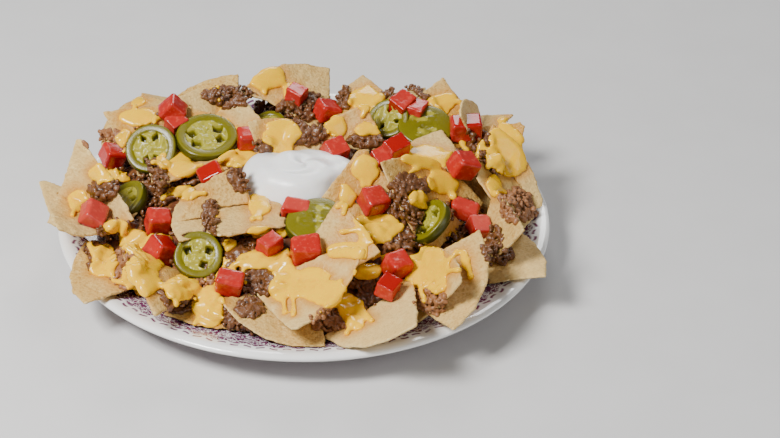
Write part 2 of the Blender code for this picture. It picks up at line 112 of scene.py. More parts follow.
BEEF = (
    (-0.83, 0.15, 0.07, 0.10),
    (-0.73, -0.15, 0.09, 0.07),
    (-0.62, 0.30, 0.06, 0.18),
    (-0.56, 0.18, 0.08, 0.06),
    (-0.83, -0.32, 0.04, 0.11),
    (-0.38, -0.04, 0.04, 0.13),
    (-0.27, 0.26, 0.05, 0.12),
    (-0.35, 0.93, 0.11, 0.10),
    (0.01, 0.59, 0.08, 0.11),
    (0.01, 0.83, 0.11, 0.13),
    (0.17, 0.93, 0.04, 0.11),
    (0.45, 0.97, 0.11, 0.13),
    (0.30, 0.56, 0.10, 0.07),
    (0.73, 0.53, 0.09, 0.12),
    (0.80, 0.35, 0.03, 0.07),
    (0.42, -0.01, 0.09, 0.36),
    (-0.25, -0.28, 0.08, 0.11),
    (-0.15, -0.49, 0.08, 0.10),
    (-0.49, -0.62, 0.09, 0.13),
    (-0.22, -0.69, 0.06, 0.07),
    (0.26, -0.54, 0.06, 0.15),
    (0.77, -0.26, 0.06, 0.13),
    (-0.18, 0.52, 0.05, 0.05),
)
BEANS = (
    (-0.87, 0.58, 0.08, 0.09),
    (-0.71, -0.41, 0.07, 0.16),
    (0.48, -0.63, 0.06, 0.10),
    (0.10, -0.78, 0.08, 0.08),
    (-0.39, -0.56, 0.05, 0.07),
    (0.35, -0.29, 0.03, 0.08),
    (0.87, 0.03, 0.07, 0.14),
)

# Further tomato dice: size, place (shares of the plate's radius) and turn about X, Y, Z.
MORE_TOMATO = (
    ((10, 10, 9), (-0.53, 0.33, 0.37), (20, 30, 10)),
    ((10, 10, 9), (-0.03, 0.51, 0.41), (10, 20, 40)),
    ((12, 11, 10), (0.13, 0.09, 0.39), (30, 10, 20)),
    ((13, 11, 11), (0.41, 0.42, 0.41), (20, 35, 15)),
    ((12, 10, 11), (0.47, 0.40, 0.39), (10, 15, 50)),
    ((13, 10, 10), (0.37, 0.07, 0.41), (20, 10, 30)),
    ((11, 10, 10), (0.32, 0.06, 0.37), (35, 20, 10)),
    ((12, 9, 8), (-0.13, -0.47, 0.30), (10, 25, 20)),
    ((11, 10, 9), (0.32, -0.70, 0.26), (15, 20, 45)),
)

# Further chips: radius and wedge angle, place (shares of the plate's radius), the way it
# faces, its lean and its spin, and its bend (cup, roll, twist).
MORE_CHIPS = {
    "back_right_small": ((48, 60), (0.72, 0.37, 0.31), (84, 61, -24), (1, 1, -1)),
    "back_left_shelf": ((44, 76), (-0.40, 0.60, 0.31), (8, 14, 30), (2, 1, 0)),
    "cream_back": ((52, 70), (-0.04, 0.10, 0.35), (16, 45, -23), (3, 1, 0)),
    "beside_slice": ((42, 62), (0.14, -0.48, 0.33), (-20, 35, -162), (3, -1, 0)),
    "rim_back": ((56, 64), (-0.10, 0.80, 0.24), (170, 20, 10), (3, 1, 1)),
    "rim_back_left": ((54, 66), (-0.50, 0.66, 0.25), (150, 22, -20), (2, 1, -1)),
    "rim_back_right": ((56, 62), (0.32, 0.74, 0.24), (200, 24, 30), (3, 0, 1)),
    "rim_back_far_right": ((54, 68), (0.66, 0.52, 0.24), (215, 18, -10), (2, 1, 1)),
}
CHIP_THICKNESS = 1.8 * MM
CHIP_CENTRE = 0.6  # a chip's middle, as a share of its radius from the tip
CHIP_TIP = 3 * MM  # radius at which its tip is blunted
STAIN_REACH = 4.5 * MM  # how far grease creeps from the sauce

# Cell sizes of the remeshed forms.
CHIP_VOXEL = 0.75 * MM
TOMATO_VOXEL = 0.6 * MM
CREAM_VOXEL = 1.0 * MM
CORE_VOXEL = 1.25 * MM
MEAT_VOXEL = 0.6 * MM
SAUCE_VOXEL = 0.75 * MM

# Shares of their triangles that the pieces keep.
KEEP_MOST = 0.6
KEEP_HALF = 0.45


# ---------------------------------------------------------------- meshes as arrays


def noise(points, size, seed=0):
    """Smooth noise from -1 to 1 whose lumps are about one size across."""
    place = points / size + 0.37 * seed
    cell = np.floor(place).astype(np.int64)
    share = place - cell
    share = share * share * (3 - 2 * share)
    total = np.zeros(len(points))
    for corner in np.ndindex(2, 2, 2):
        key = (cell + corner) @ np.array([73856093, 19349663, 83492791])
        key = (key ^ (key >> 13)) * 1274126177 + seed * 668265263
        key = (key ^ (key >> 16)) & 0xFFFF
        weight = np.prod(np.where(corner, share, 1 - share), axis=1)
        total += weight * (key / 32767.5 - 1)
    return total


def mesh_arrays(mesh):
    """Vertices and triangles of a mesh."""
    mesh.calc_loop_triangles()
    vertices = np.empty(len(mesh.vertices) * 3, np.float32)
    mesh.vertices.foreach_get("co", vertices)
    triangles = np.empty(len(mesh.loop_triangles) * 3, np.int32)
    mesh.loop_triangles.foreach_get("vertices", triangles)
    return vertices.reshape(-1, 3).astype(float), triangles.reshape(-1, 3)


def build_mesh(name, vertices, triangles):
    mesh = bpy.data.meshes.new(name)
    mesh.vertices.add(len(vertices))
    mesh.vertices.foreach_set("co", np.asarray(vertices, np.float32).ravel())
    mesh.loops.add(3 * len(triangles))
    mesh.loops.foreach_set("vertex_index", np.asarray(triangles, np.int32).ravel())
    mesh.polygons.add(len(triangles))
    mesh.polygons.foreach_set("loop_start", np.arange(0, 3 * len(triangles), 3, dtype=np.int32))
    mesh.update(calc_edges=True)
    mesh.polygons.foreach_set("use_smooth", np.ones(len(triangles), bool))
    return mesh


def make_piece(name, form, finish, slot, nodes=(), keep=1.0, **traits):
    """A piece that rides on the one body, with one float per vertex for each trait.

    keep is the share of its triangles that stay, where flat stretches need fewer.
    """
    mesh = build_mesh(name, *form)
    for trait, values in traits.items():
        layer = mesh.attributes.new(trait, "FLOAT", "POINT")
        layer.data.foreach_set("value", np.asarray(values, np.float32))
    mesh.materials.append(finish)
    piece = bpy.data.objects.new(name, mesh)
    bpy.context.scene.collection.objects.link(piece)
    if keep < 1:
        fewer = piece.modifiers.new("fewer", "DECIMATE")
        fewer.ratio = keep
    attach(piece, "root")
    if nodes:
        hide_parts(*nodes)
    return piece


def voxel(form, size):
    """The form's outer surface, rebuilt with an even grid of small faces."""
    source = bpy.data.objects.new("source", build_mesh("source", *form))
    bpy.context.scene.collection.objects.link(source)
    remesh = source.modifiers.new("remesh", "REMESH")
    remesh.mode = "VOXEL"
    remesh.voxel_size = size
    remesh.use_smooth_shade = True
    evaluated = source.evaluated_get(bpy.context.evaluated_depsgraph_get())
    made = mesh_arrays(evaluated.to_mesh())
    evaluated.to_mesh_clear()
    mesh = source.data
    bpy.data.objects.remove(source)
    bpy.data.meshes.remove(mesh)
    return made


def edges_of(triangles):
    pairs = np.sort(np.concatenate([triangles[:, (0, 1)], triangles[:, (1, 2)], triangles[:, (2, 0)]]))
    return np.unique(pairs, axis=0)


def neighbour_mean(values, edges):
    count = len(values)
    a, b = edges.T
    degree = np.maximum(np.bincount(a, minlength=count) + np.bincount(b, minlength=count), 1)
    flat = values.reshape(count, -1)
    sums = [
        np.bincount(a, column[b], count) + np.bincount(b, column[a], count) for column in flat.T
    ]
    return (np.array(sums) / degree).T.reshape(values.shape)


def smoothed(values, triangles, rounds, share=0.5):
    edges = edges_of(triangles)
    for _ in range(rounds):
        values = values + share * (neighbour_mean(values, edges) - values)
    return values


def normals_of(form):
    vertices, triangles = form
    a, b, c = (vertices[triangles[:, i]] for i in range(3))
    face = np.cross(b - a, c - a)
    total = np.zeros_like(vertices)
    for i in range(3):
        for axis in range(3):
            total[:, axis] += np.bincount(triangles[:, i], face[:, axis], len(vertices))
    length = np.linalg.norm(total, axis=1, keepdims=True)
    return total / np.maximum(length, 1e-12)


# The finishes use this depth to paint shade into creases.
def hollows(form, rounds=2):
    """How deep each vertex lies in a crease, in millimetres; ridges are below 0."""
    vertices, triangles = form
    mean = smoothed(vertices, triangles, rounds, 1.0)
    return np.einsum("ij,ij->i", mean - vertices, normals_of(form)) / MM


def node_form(name):
    return mesh_arrays(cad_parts[name].data)


def joined(forms):
    offsets = np.cumsum([0] + [len(f[0]) for f in forms[:-1]])
    vertices = np.concatenate([f[0] for f in forms])
    triangles = np.concatenate([f[1] + o for f, o in zip(forms, offsets)])
    return vertices, triangles


def primitive(make, **sizes):
    """Arrays of one of bmesh's own shapes."""
    bm = bmesh.new()
    make(bm, **sizes)
    mesh = bpy.data.meshes.new("primitive")
    bm.to_mesh(mesh)
    bm.free()
    form = mesh_arrays(mesh)
    bpy.data.meshes.remove(mesh)
    return form


def ball(level):
    return primitive(bmesh.ops.create_icosphere, subdivisions=level, radius=1)


def turned(facing, lean, spin):
    """Spin a piece in its own plane, lean it towards -Y and turn it to face another way."""
    facing, lean, spin = (math.radians(a) for a in (facing, lean, spin))
    stand = Matrix.Rotation(facing, 3, "Z") @ Matrix.Rotation(lean, 3, "X")
    return np.array(stand @ Matrix.Rotation(spin, 3, "Z"))


def main_axes(vertices):
    """Centre and the three main directions, the longest first."""
    centre = (vertices.max(0) + vertices.min(0)) / 2
    _, vectors = np.linalg.eigh(np.cov((vertices - vertices.mean(0)).T))
    return centre, vectors[:, ::-1]


# ---------------------------------------------------------------- camera, light, table


def make_camera():
    data = bpy.data.cameras.new("camera")
    data.lens = LENS
    data.sensor_width = 36
    data.shift_x = SIDE_SHIFT
    data.clip_start = 0.01
    camera = bpy.data.objects.new("camera", data)
    bpy.context.scene.collection.objects.link(camera)
    back = Vector((0, -math.cos(LOOK_DOWN), math.sin(LOOK_DOWN)))
    camera.location = Vector((0, 0, AIM_HEIGHT)) + back * CAMERA_DISTANCE
    camera.rotation_euler = (-back).to_track_quat("-Z", "Y").to_euler()
    bpy.context.scene.camera = camera
    return camera


def make_light(name, place, size, power, colour=(1, 1, 1)):
    """A square soft light that faces the middle of the plate; the place is in plate radii."""
    data = bpy.data.lights.new(name, "AREA")
    data.size = size * RADIUS
    data.energy = power
    data.color = colour
    light = bpy.data.objects.new(name, data)
    light.location = Vector(place) * RADIUS
    light.rotation_euler = (-light.location).to_track_quat("-Z", "Y").to_euler()
    bpy.context.scene.collection.objects.link(light)


def make_stage():
    make_light("key", (-4.5, -3.5, 7.0), 2.6, 26)
    make_light("fill", (6.0, -5.5, 4.5), 5, 3.5)
    make_light("rim", (1.5, 8.0, 6.0), 4, 7)
    world = bpy.data.worlds.new("world")
    world.use_nodes = True
    world.node_tree.nodes["Background"].inputs["Color"].default_value = (0.9, 0.94, 1, 1)
    world.node_tree.nodes["Background"].inputs["Strength"].default_value = 0.16
    bpy.context.scene.world = world
    bm = bmesh.new()
    bmesh.ops.create_grid(bm, x_segments=1, y_segments=1, size=30 * RADIUS)
    mesh = bpy.data.meshes.new("floor")
    bm.to_mesh(mesh)
    bm.free()
    mesh.materials.append(stage_finish())
    floor = bpy.data.objects.new("floor", mesh)
    bpy.context.scene.collection.objects.link(floor)


# ---------------------------------------------------------------- materials


class Finish:
    """A material with short ways to add its nodes."""

    def __init__(self, name, roughness, **numbers):
        self.material = bpy.data.materials.new(name)
        self.material.use_nodes = True
        self.tree = self.material.node_tree
        self.shader = self.tree.nodes["Principled BSDF"]
        self.shader.inputs["Roughness"].default_value = roughness
        for socket, value in numbers.items():
            self.shader.inputs[socket.replace("_", " ")].default_value = value
        self.place = self.node("ShaderNodeTexCoord").outputs["Object"]

    def node(self, kind, **inputs):
        made = self.tree.nodes.new(kind)
        for socket, value in inputs.items():
            self.feed(made.inputs[socket.replace("_", " ")], value)
        return made

    def feed(self, socket, value):
        if isinstance(value, bpy.types.NodeSocket):
            self.tree.links.new(value, socket)
        elif isinstance(value, tuple) and len(value) == 3 and socket.type == "RGBA":
            socket.default_value = (*value, 1)
        else:
            socket.default_value = value

    def noise(self, size, detail=3.0, rough=0.55, place=None):
        scale = 1 / size
        made = self.node("ShaderNodeTexNoise", Scale=scale, Detail=detail, Roughness=rough)
        self.feed(made.inputs["Vector"], place or self.place)
        return made.outputs["Fac"]

    def range(self, value, low, high, to_low=0.0, to_high=1.0):
        made = self.node("ShaderNodeMapRange", Value=value)
        made.interpolation_type = "SMOOTHSTEP"
        for socket, number in zip(("From Min", "From Max", "To Min", "To Max"),
                                  (low, high, to_low, to_high)):
            self.feed(made.inputs[socket], number)
        return made.outputs["Result"]

    def math(self, operation, a, b=0.0):
        made = self.node("ShaderNodeMath")
        made.operation = operation
        self.feed(made.inputs[0], a)
        self.feed(made.inputs[1], b)
        return made.outputs[0]

    def mix(self, share, a, b, blend="MIX"):
        made = self.node("ShaderNodeMix")
        made.data_type = "RGBA"
        made.blend_type = blend
        self.feed(made.inputs[0], share)
        self.feed(made.inputs[6], a)
        self.feed(made.inputs[7], b)
        return made.outputs[2]

    def trait(self, name):
        made = self.node("ShaderNodeAttribute")
        made.attribute_name = name
        return made.outputs["Fac"]

    def colour(self, value):
        self.feed(self.shader.inputs["Base Color"], value)

    def roughness(self, value):
        self.feed(self.shader.inputs["Roughness"], value)

    def bump(self, height, depth, strength=1.0):
        made = self.node("ShaderNodeBump", Height=height, Distance=depth, Strength=strength)
        if self.shader.inputs["Normal"].is_linked:
            self.feed(made.inputs["Normal"], self.shader.inputs["Normal"].links[0].from_socket)
        self.feed(self.shader.inputs["Normal"], made.outputs["Normal"])


def stage_finish():
    finish = Finish("table_surface", 0.8)
    shade = finish.noise(40 * MM, 4)
    finish.colour(finish.mix(shade, (0.60, 0.59, 0.58), (0.66, 0.65, 0.64)))
    return finish.material


def china_finish():
    """White glaze with a generic speckled scroll band printed on the rim."""
    finish = Finish("glazed_china", 0.12, Specular_IOR_Level=0.55, Coat_Weight=0.3)
    parts = finish.node("ShaderNodeSeparateXYZ", Vector=finish.place)
    x, y, z = parts.outputs
    square = finish.math("ADD", finish.math("MULTIPLY", x, x), finish.math("MULTIPLY", y, y))
    reach = finish.math("DIVIDE", finish.math("SQRT", square), RADIUS)
    angle = finish.math("ARCTAN2", y, x)

    def ring(low, high, soft=0.004):
        inside = finish.range(reach, low - soft, low + soft)
        outside = finish.range(reach, high - soft, high + soft, 1.0, 0.0)
        return finish.math("MULTIPLY", inside, outside)

    wobble = finish.noise(6 * MM, 4)
    veins = finish.noise(3.4 * MM, 4, 0.6)
    from_vein = finish.math("ABSOLUTE", finish.math("SUBTRACT", veins, 0.5))
    lace = finish.range(from_vein, 0.012, 0.04)
    scallop = finish.math("MULTIPLY", finish.math("SINE", finish.math("MULTIPLY", angle, 72.0)), 0.007)
    reach = finish.math("ADD", reach, scallop)
    dashes = finish.range(finish.math("SINE", finish.math("MULTIPLY", angle, 118.0)), -0.6, -0.2)
    line = finish.math("MULTIPLY", ring(0.936, 0.948), dashes)
    inner_line = ring(0.795, 0.803)
    band = finish.math("MULTIPLY", ring(0.81, 0.925, 0.006), lace)
    ink = finish.math("MAXIMUM", finish.math("MAXIMUM", band, line), inner_line)
    worn = finish.range(wobble, 0.3, 0.5, 0.7, 1.0)
    above = finish.range(z, 0.45 * PLATE_TOP, 0.5 * PLATE_TOP)
    ink = finish.math("MULTIPLY", finish.math("MULTIPLY", ink, worn), above)
    purple = finish.mix(veins, (0.10, 0.012, 0.060), (0.19, 0.040, 0.13))
    glaze = finish.mix(finish.noise(25 * MM), (0.86, 0.85, 0.82), (0.90, 0.895, 0.87))
    finish.colour(finish.mix(ink, glaze, purple))
    finish.bump(finish.noise(12 * MM, 2), 0.15 * MM, 0.4)
    return finish.material


def chip_finish():
    """Fried corn tortilla: pale gold, with toasted specks and greasy stains, and pale rough rims that
    also carry a painted highlight.
    """
    finish = Finish("fried_corn_chip", 0.62, Specular_IOR_Level=0.35)
    tone = finish.trait("tone")
    rim = finish.trait("rim")
    stain = finish.trait("stain")
    broad = finish.noise(11 * MM, 4)
    grain = finish.noise(1.6 * MM, 5, 0.65)
    pale = finish.mix(broad, (0.74, 0.50, 0.16), (0.54, 0.30, 0.060))
    colour = finish.mix(finish.range(grain, 0.42, 0.68), pale, (0.44, 0.215, 0.030))
    colour = finish.mix(finish.math("MULTIPLY", tone, 0.5), colour, (0.80, 0.60, 0.25))
    blister = finish.range(finish.noise(4.5 * MM, 3), 0.58, 0.72)
    colour = finish.mix(finish.math("MULTIPLY", blister, 0.45), colour, (0.86, 0.68, 0.30))
    specks = finish.range(finish.noise(1.1 * MM, 2), 0.66, 0.74)
    few = finish.range(finish.noise(7 * MM, 2), 0.45, 0.6)
    specks = finish.math("MULTIPLY", specks, few)
    colour = finish.mix(finish.math("MULTIPLY", specks, 0.75), colour, (0.20, 0.06, 0.01))
    colour = finish.mix(finish.math("MULTIPLY", stain, 0.75), colour, (0.55, 0.22, 0.006))
    # Pale broken edges, lightened further by a painted highlight along the rims.
    edge = finish.range(rim, 0.25, 0.8)
    colour = finish.mix(finish.math("MULTIPLY", edge, 0.75), colour, (0.95, 0.82, 0.46))
    finish.colour(colour)
    finish.roughness(finish.range(stain, 0.1, 0.8, 0.6, 0.3))
    finish.bump(finish.noise(3.2 * MM, 4, 0.6), 0.8 * MM, 0.9)
    finish.bump(grain, 0.4 * MM, 0.8)
    return finish.material


def beef_finish(name="browned_beef"):
    finish = Finish(name, 0.42, Specular_IOR_Level=0.6, Coat_Weight=0.15)
    crease = finish.trait("crease")
    tone = finish.trait("tone")
    broad = finish.noise(5 * MM, 4)
    fine = finish.noise(0.9 * MM, 4, 0.6)
    colour = finish.mix(broad, (0.060, 0.017, 0.003), (0.115, 0.036, 0.005))
    colour = finish.mix(finish.range(fine, 0.4, 0.75), colour, (0.19, 0.067, 0.011))
    colour = finish.mix(finish.math("MULTIPLY", tone, 0.55), colour, (0.20, 0.070, 0.013))
    # Painted shade: the creases between the crumbs turn near black.
    colour = finish.mix(finish.range(crease, 0.02, 0.35), colour, (0.012, 0.003, 0.001))
    finish.colour(colour)
    finish.roughness(finish.range(fine, 0.3, 0.7, 0.55, 0.28))
    finish.bump(fine, 0.4 * MM, 0.8)
    finish.bump(finish.noise(0.4 * MM, 2), 0.12 * MM, 0.6)
    return finish.material


def bean_finish():
    finish = Finish("mashed_beans", 0.45, Specular_IOR_Level=0.5)
    crease = finish.trait("crease")
    broad = finish.noise(4 * MM, 4)
    fine = finish.noise(0.8 * MM, 4)
    colour = finish.mix(broad, (0.22, 0.078, 0.022), (0.33, 0.14, 0.050))
    colour = finish.mix(finish.range(fine, 0.5, 0.8), colour, (0.42, 0.20, 0.085))
    # Painted shade: the creases in the mash turn near black.
    colour = finish.mix(finish.range(crease, 0.05, 0.5), colour, (0.06, 0.014, 0.005))
    finish.colour(colour)
    finish.bump(fine, 0.3 * MM, 0.7)
    return finish.material


def core_finish():
    """What shows between the chips: beans and beef, wet with sauce."""
    finish = Finish("filling_core", 0.4, Specular_IOR_Level=0.6)
    crease = finish.trait("crease")
    broad = finish.noise(13 * MM, 3)
    fine = finish.noise(1.0 * MM, 4)
    beef = finish.mix(fine, (0.06, 0.015, 0.005), (0.15, 0.042, 0.014))
    beans = finish.mix(fine, (0.18, 0.060, 0.015), (0.29, 0.11, 0.03))
    colour = finish.mix(finish.range(broad, 0.45, 0.62), beef, beans)
    sauce = finish.range(finish.noise(9 * MM, 3), 0.6, 0.68)
    colour = finish.mix(finish.math("MULTIPLY", sauce, 0.8), colour, (0.60, 0.22, 0.01))
    # Painted shade: the creases of the filling turn near black.
    colour = finish.mix(finish.range(crease, 0.05, 0.6), colour, (0.012, 0.003, 0.001))
    finish.colour(colour)
    finish.bump(fine, 0.4 * MM, 0.8)
    return finish.material


def sauce_finish():
    finish = Finish("cheese_sauce", 0.2, Specular_IOR_Level=0.4)
    finish.shader.inputs["Subsurface Weight"].default_value = 0.18
    finish.shader.inputs["Subsurface Radius"].default_value = (0.003, 0.0015, 0.0001)
    broad = finish.noise(9 * MM, 3)
    crease = finish.trait("crease")
    colour = finish.mix(broad, (0.88, 0.47, 0.001), (0.92, 0.54, 0.002))
    oily = finish.range(finish.noise(3.5 * MM, 3), 0.55, 0.75)
    colour = finish.mix(finish.math("MULTIPLY", oily, 0.5), colour, (0.84, 0.36, 0.001))
    # Painted shade: the sauce turns a deeper orange in its creases.
    colour = finish.mix(finish.range(crease, 0.03, 0.3), colour, (0.56, 0.22, 0.001))
    finish.colour(colour)
    finish.roughness(finish.range(finish.noise(2.4 * MM, 3), 0.3, 0.7, 0.12, 0.3))
    finish.bump(finish.noise(3.0 * MM, 2), 0.25 * MM, 0.4)
    return finish.material


def tomato_finish():
    finish = Finish("diced_tomato", 0.18, Specular_IOR_Level=0.4)
    finish.shader.inputs["Subsurface Weight"].default_value = 0.15
    finish.shader.inputs["Subsurface Radius"].default_value = (0.005, 0.0012, 0.0008)
    skin = finish.trait("skin")
    tone = finish.trait("tone")
    fine = finish.noise(1.2 * MM, 4)
    veins = finish.range(finish.noise(2.6 * MM, 3), 0.52, 0.66)
    flesh = finish.mix(fine, (0.38, 0.008, 0.004), (0.46, 0.018, 0.010))
    flesh = finish.mix(finish.math("MULTIPLY", veins, 0.6), flesh, (0.58, 0.07, 0.042))
    flesh = finish.mix(finish.math("MULTIPLY", tone, 0.6), flesh, (0.62, 0.11, 0.08))
    peel = finish.mix(fine, (0.30, 0.003, 0.002), (0.37, 0.006, 0.003))
    finish.colour(finish.mix(skin, flesh, peel))
    finish.roughness(finish.range(skin, 0, 1, 0.22, 0.1))
    finish.bump(finish.noise(1.8 * MM, 3), 0.25 * MM, 0.35)
    return finish.material


def pepper_finish():
    finish = Finish("pickled_pepper", 0.26, Specular_IOR_Level=0.4)
    finish.shader.inputs["Subsurface Weight"].default_value = 0.12
    finish.shader.inputs["Subsurface Radius"].default_value = (0.002, 0.002, 0.0006)
    core = finish.trait("core")
    skin = finish.trait("skin")
    crease = finish.trait("crease")
    broad = finish.noise(7 * MM, 3)
    fine = finish.noise(0.9 * MM, 3)
    wall = finish.mix(broad, (0.115, 0.10, 0.003), (0.18, 0.155, 0.007))
    peel = finish.mix(finish.noise(3 * MM, 3), (0.038, 0.038, 0.001), (0.068, 0.064, 0.003))
    seeds = finish.mix(fine, (0.27, 0.235, 0.014), (0.44, 0.39, 0.045))
    colour = finish.mix(finish.range(core, 0.3, 0.7), wall, seeds)
    colour = finish.mix(finish.range(skin, 0.3, 0.8), colour, peel)
    # Painted shade: the creases and sunken chambers of the slice turn near black.
    colour = finish.mix(finish.range(crease, 0.15, 0.8), colour, (0.03, 0.024, 0.002))
    finish.colour(colour)
    finish.bump(fine, 0.2 * MM, 0.5)
    return finish.material


def cream_finish():
    finish = Finish("sour_cream", 0.28, Specular_IOR_Level=0.45)
    finish.shader.inputs["Subsurface Weight"].default_value = 0.2
    finish.shader.inputs["Subsurface Radius"].default_value = (0.004, 0.003, 0.002)
    broad = finish.noise(14 * MM, 3)
    finish.colour(finish.mix(broad, (0.90, 0.885, 0.85), (0.94, 0.93, 0.905)))
    finish.bump(finish.noise(5 * MM, 2), 0.3 * MM, 0.35)
    finish.bump(finish.noise(1.0 * MM, 2), 0.05 * MM, 0.3)
    return finish.material


# ---------------------------------------------------------------- plate


PLATE_SEGMENTS = 224
PLATE_STEPS = 4  # points on each stretch of its profile

# Profile from the middle of the foot out to the lip and back in to the middle of the well:
# shares of the plate's radius and of its height.
PLATE_PROFILE = (
    (0, 0.0), (0.54, 0.0), (0.55, 0.06), (0.565, 0.15), (0.71, 0.42), (0.945, 0.74),
    (0.985, 0.80), (0.998, 0.87), (1.0, 0.93), (0.992, 0.985), (0.977, 1.0), (0.955, 0.97),
    (0.80, 0.66), (0.725, 0.57), (0.665, 0.46), (0.635, 0.37), (0.60, 0.325), (0.55, 0.31),
    (0.3, 0.30), (0, 0.30),
)


def rounded_profile():
    """The plate's profile as a smooth curve through its points, in metres."""
    points = [np.array(p) for p in PLATE_PROFILE]
    curve = []
    for i in range(len(points) - 1):
        before, here = points[max(i - 1, 0)], points[i]
        after, far = points[i + 1], points[min(i + 2, len(points) - 1)]
        leave, arrive = (after - before) * 0.5, (far - here) * 0.5
        for step in range(PLATE_STEPS):
            t = step / PLATE_STEPS
            shape = here * (2 * t**3 - 3 * t**2 + 1) + after * (3 * t**2 - 2 * t**3)
            curve.append(shape + leave * (t**3 - 2 * t**2 + t) + arrive * (t**3 - t**2))
    curve.append(points[-1])
    return np.clip(np.array(curve), 0, 1) * (RADIUS, PLATE_TOP)


def make_plate(finish):
    """A turned plate with a foot, a well, a sloping flange and a thick rolled lip."""
    profile = rounded_profile()
    angles = np.arange(PLATE_SEGMENTS) * math.tau / PLATE_SEGMENTS
    reach, height = profile[1:-1].T
    rings = np.stack([np.outer(reach, np.cos(angles)), np.outer(reach, np.sin(angles)),
                      np.repeat(height[:, None], PLATE_SEGMENTS, 1)], axis=2)
    middles = [[0, 0, profile[0, 1]], [0, 0, profile[-1, 1]]]
    vertices = np.concatenate([rings.reshape(-1, 3), middles])
    last = (len(reach) - 1) * PLATE_SEGMENTS
    bottom, top = len(vertices) - 2, len(vertices) - 1
    triangles = []
    for j in range(PLATE_SEGMENTS):
        k = (j + 1) % PLATE_SEGMENTS
        for ring in range(0, last, PLATE_SEGMENTS):
            a, b = ring + j, ring + k
            c, d = a + PLATE_SEGMENTS, b + PLATE_SEGMENTS
            triangles += [(a, b, d), (a, d, c)]
        triangles += [(bottom, k, j), (top, last + j, last + k)]
    make_piece("china_plate", (vertices, np.array(triangles)), finish, "plate", ["plate"])


# ---------------------------------------------------------------- chips


def wedge(size, bend):
    """A wedge of a round tortilla as a closed form in its own frame; its tip points to -Y."""
    radius, angle = size[0] * MM, math.radians(size[1])
    cup, roll, twist = (b * MM for b in bend)
    half, steps = angle / 2, 12
    points = []
    for side_up in (1, -1):
        for i in range(steps + 1):
            out = CHIP_TIP + (radius - CHIP_TIP) * i / steps
            for j in range(steps + 1):
                side = 2 * j / steps - 1
                x = out * math.sin(half * side)
                y = out * math.cos(half * side) - CHIP_CENTRE * radius
                across, along = x / (radius * math.sin(half)), y / (radius / 2)
                z = cup * across**2 + roll * along**2 + twist * across * along
                points.append((x, y, z + side_up * CHIP_THICKNESS / 2))
    row, sheet = steps + 1, (steps + 1) ** 2
    triangles = []

    def quad(a, b, c, d):
        triangles.extend([(a, b, c), (a, c, d)])

    for i in range(steps):
        for j in range(steps):
            a = i * row + j
            quad(a, a + 1, a + row + 1, a + row)
            quad(sheet + a + row, sheet + a + row + 1, sheet + a + 1, sheet + a)
    border = list(range(steps))
    border += [i * row + steps for i in range(steps)]
    border += [steps * row + steps - j for j in range(steps)]
    border += [(steps - i) * row for i in range(steps)]
    for a, b in zip(border, border[1:] + border[:1]):
        quad(b, a, sheet + a, sheet + b)
    return np.array(points), np.array(triangles)


def chip_form(form, seed):
    """Warps, blisters and frays a plain chip. Also gives how near each vertex is to the rim."""
    vertices, triangles = voxel(form, CHIP_VOXEL)
    vertices = smoothed(vertices, triangles, 4)
    normals = normals_of((vertices, triangles))
    tree = BVHTree.FromPolygons(vertices.tolist(), triangles.tolist())
    depth = np.empty(len(vertices))
    for i, (point, normal) in enumerate(zip(vertices.tolist(), normals.tolist())):
        inward = -Vector(normal)
        hit = tree.ray_cast(Vector(point) + inward * 0.05 * MM, inward)
        depth[i] = hit[3] if hit[0] else 0
    rim = np.clip((depth / CHIP_THICKNESS - 1.3) / 1.4, 0, 1)
    rim = smoothed(rim, triangles, 2)
    flat = main_axes(vertices)[1][:, 2]
    warp = 0.45 * noise(vertices, 15 * MM, seed) + 0.3 * noise(vertices, 6 * MM, seed + 1)
    blister = 0.8 * np.clip(noise(vertices, 5 * MM, seed + 2) - 0.2, 0, 1)
    grain = 0.09 * noise(vertices, 1.8 * MM, seed + 3)
    fray = 0.6 * rim * noise(vertices, 1.9 * MM, seed + 4)
    vertices = vertices + MM * (warp[:, None] * flat + (blister + grain + fray)[:, None] * normals)
    return (vertices, triangles), rim


def make_chips():
    """Every chip's form, rim and name, with the CAD node that it stands for, if any."""
    chips = []
    names = sorted(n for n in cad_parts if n.startswith("chip_"))
    for seed, name in enumerate(names):
        form, rim = chip_form(node_form(name), 10 * seed)
        chips.append(("tortilla_" + name[5:], form, rim, [name]))
    for seed, (name, (size, place, turn, bend)) in enumerate(MORE_CHIPS.items(), len(names)):
        vertices, triangles = wedge(size, bend)
        vertices = vertices @ turned(*turn).T + np.array(place) * RADIUS
        form, rim = chip_form((vertices, triangles), 10 * seed)
        chips.append(("tortilla_" + name, form, rim, []))
    return chips


def finish_chips(chips, sauce, finish):
    """Makes the chips' pieces, each with its own tone and with greasy stains near the sauce."""
    near = KDTree(len(sauce))
    for i, point in enumerate(sauce):
        near.insert(point, i)
    near.balance()
    rng = np.random.default_rng(5)
    for name, form, rim, nodes in chips:
        gap = np.array([near.find(p)[2] for p in form[0].tolist()])
        stain = np.exp(-((gap / STAIN_REACH) ** 2))
        tone = np.full(len(rim), rng.random())
        make_piece(name, form, finish, "chip", nodes, KEEP_HALF, rim=rim, stain=stain, tone=tone)


# ---------------------------------------------------------------- tomato, pepper, cream


def tomato_form(form, seed):
    """Softens a die and gives how much each vertex belongs to its one side with peel."""
    vertices, triangles = voxel(form, TOMATO_VOXEL)
    vertices = smoothed(vertices, triangles, 2)
    normals = normals_of((vertices, triangles))
    axes = main_axes(vertices)[1]
    direction = axes[:, seed % 3] * (1 if seed % 2 else -1)
    skin = np.clip((normals @ direction - 0.55) / 0.3, 0, 1)
    bulge = 0.3 * noise(vertices, 6 * MM, seed) + 0.12 * (1 - skin) * noise(vertices, 2 * MM, seed)
    return (vertices + MM * bulge[:, None] * normals, triangles), skin


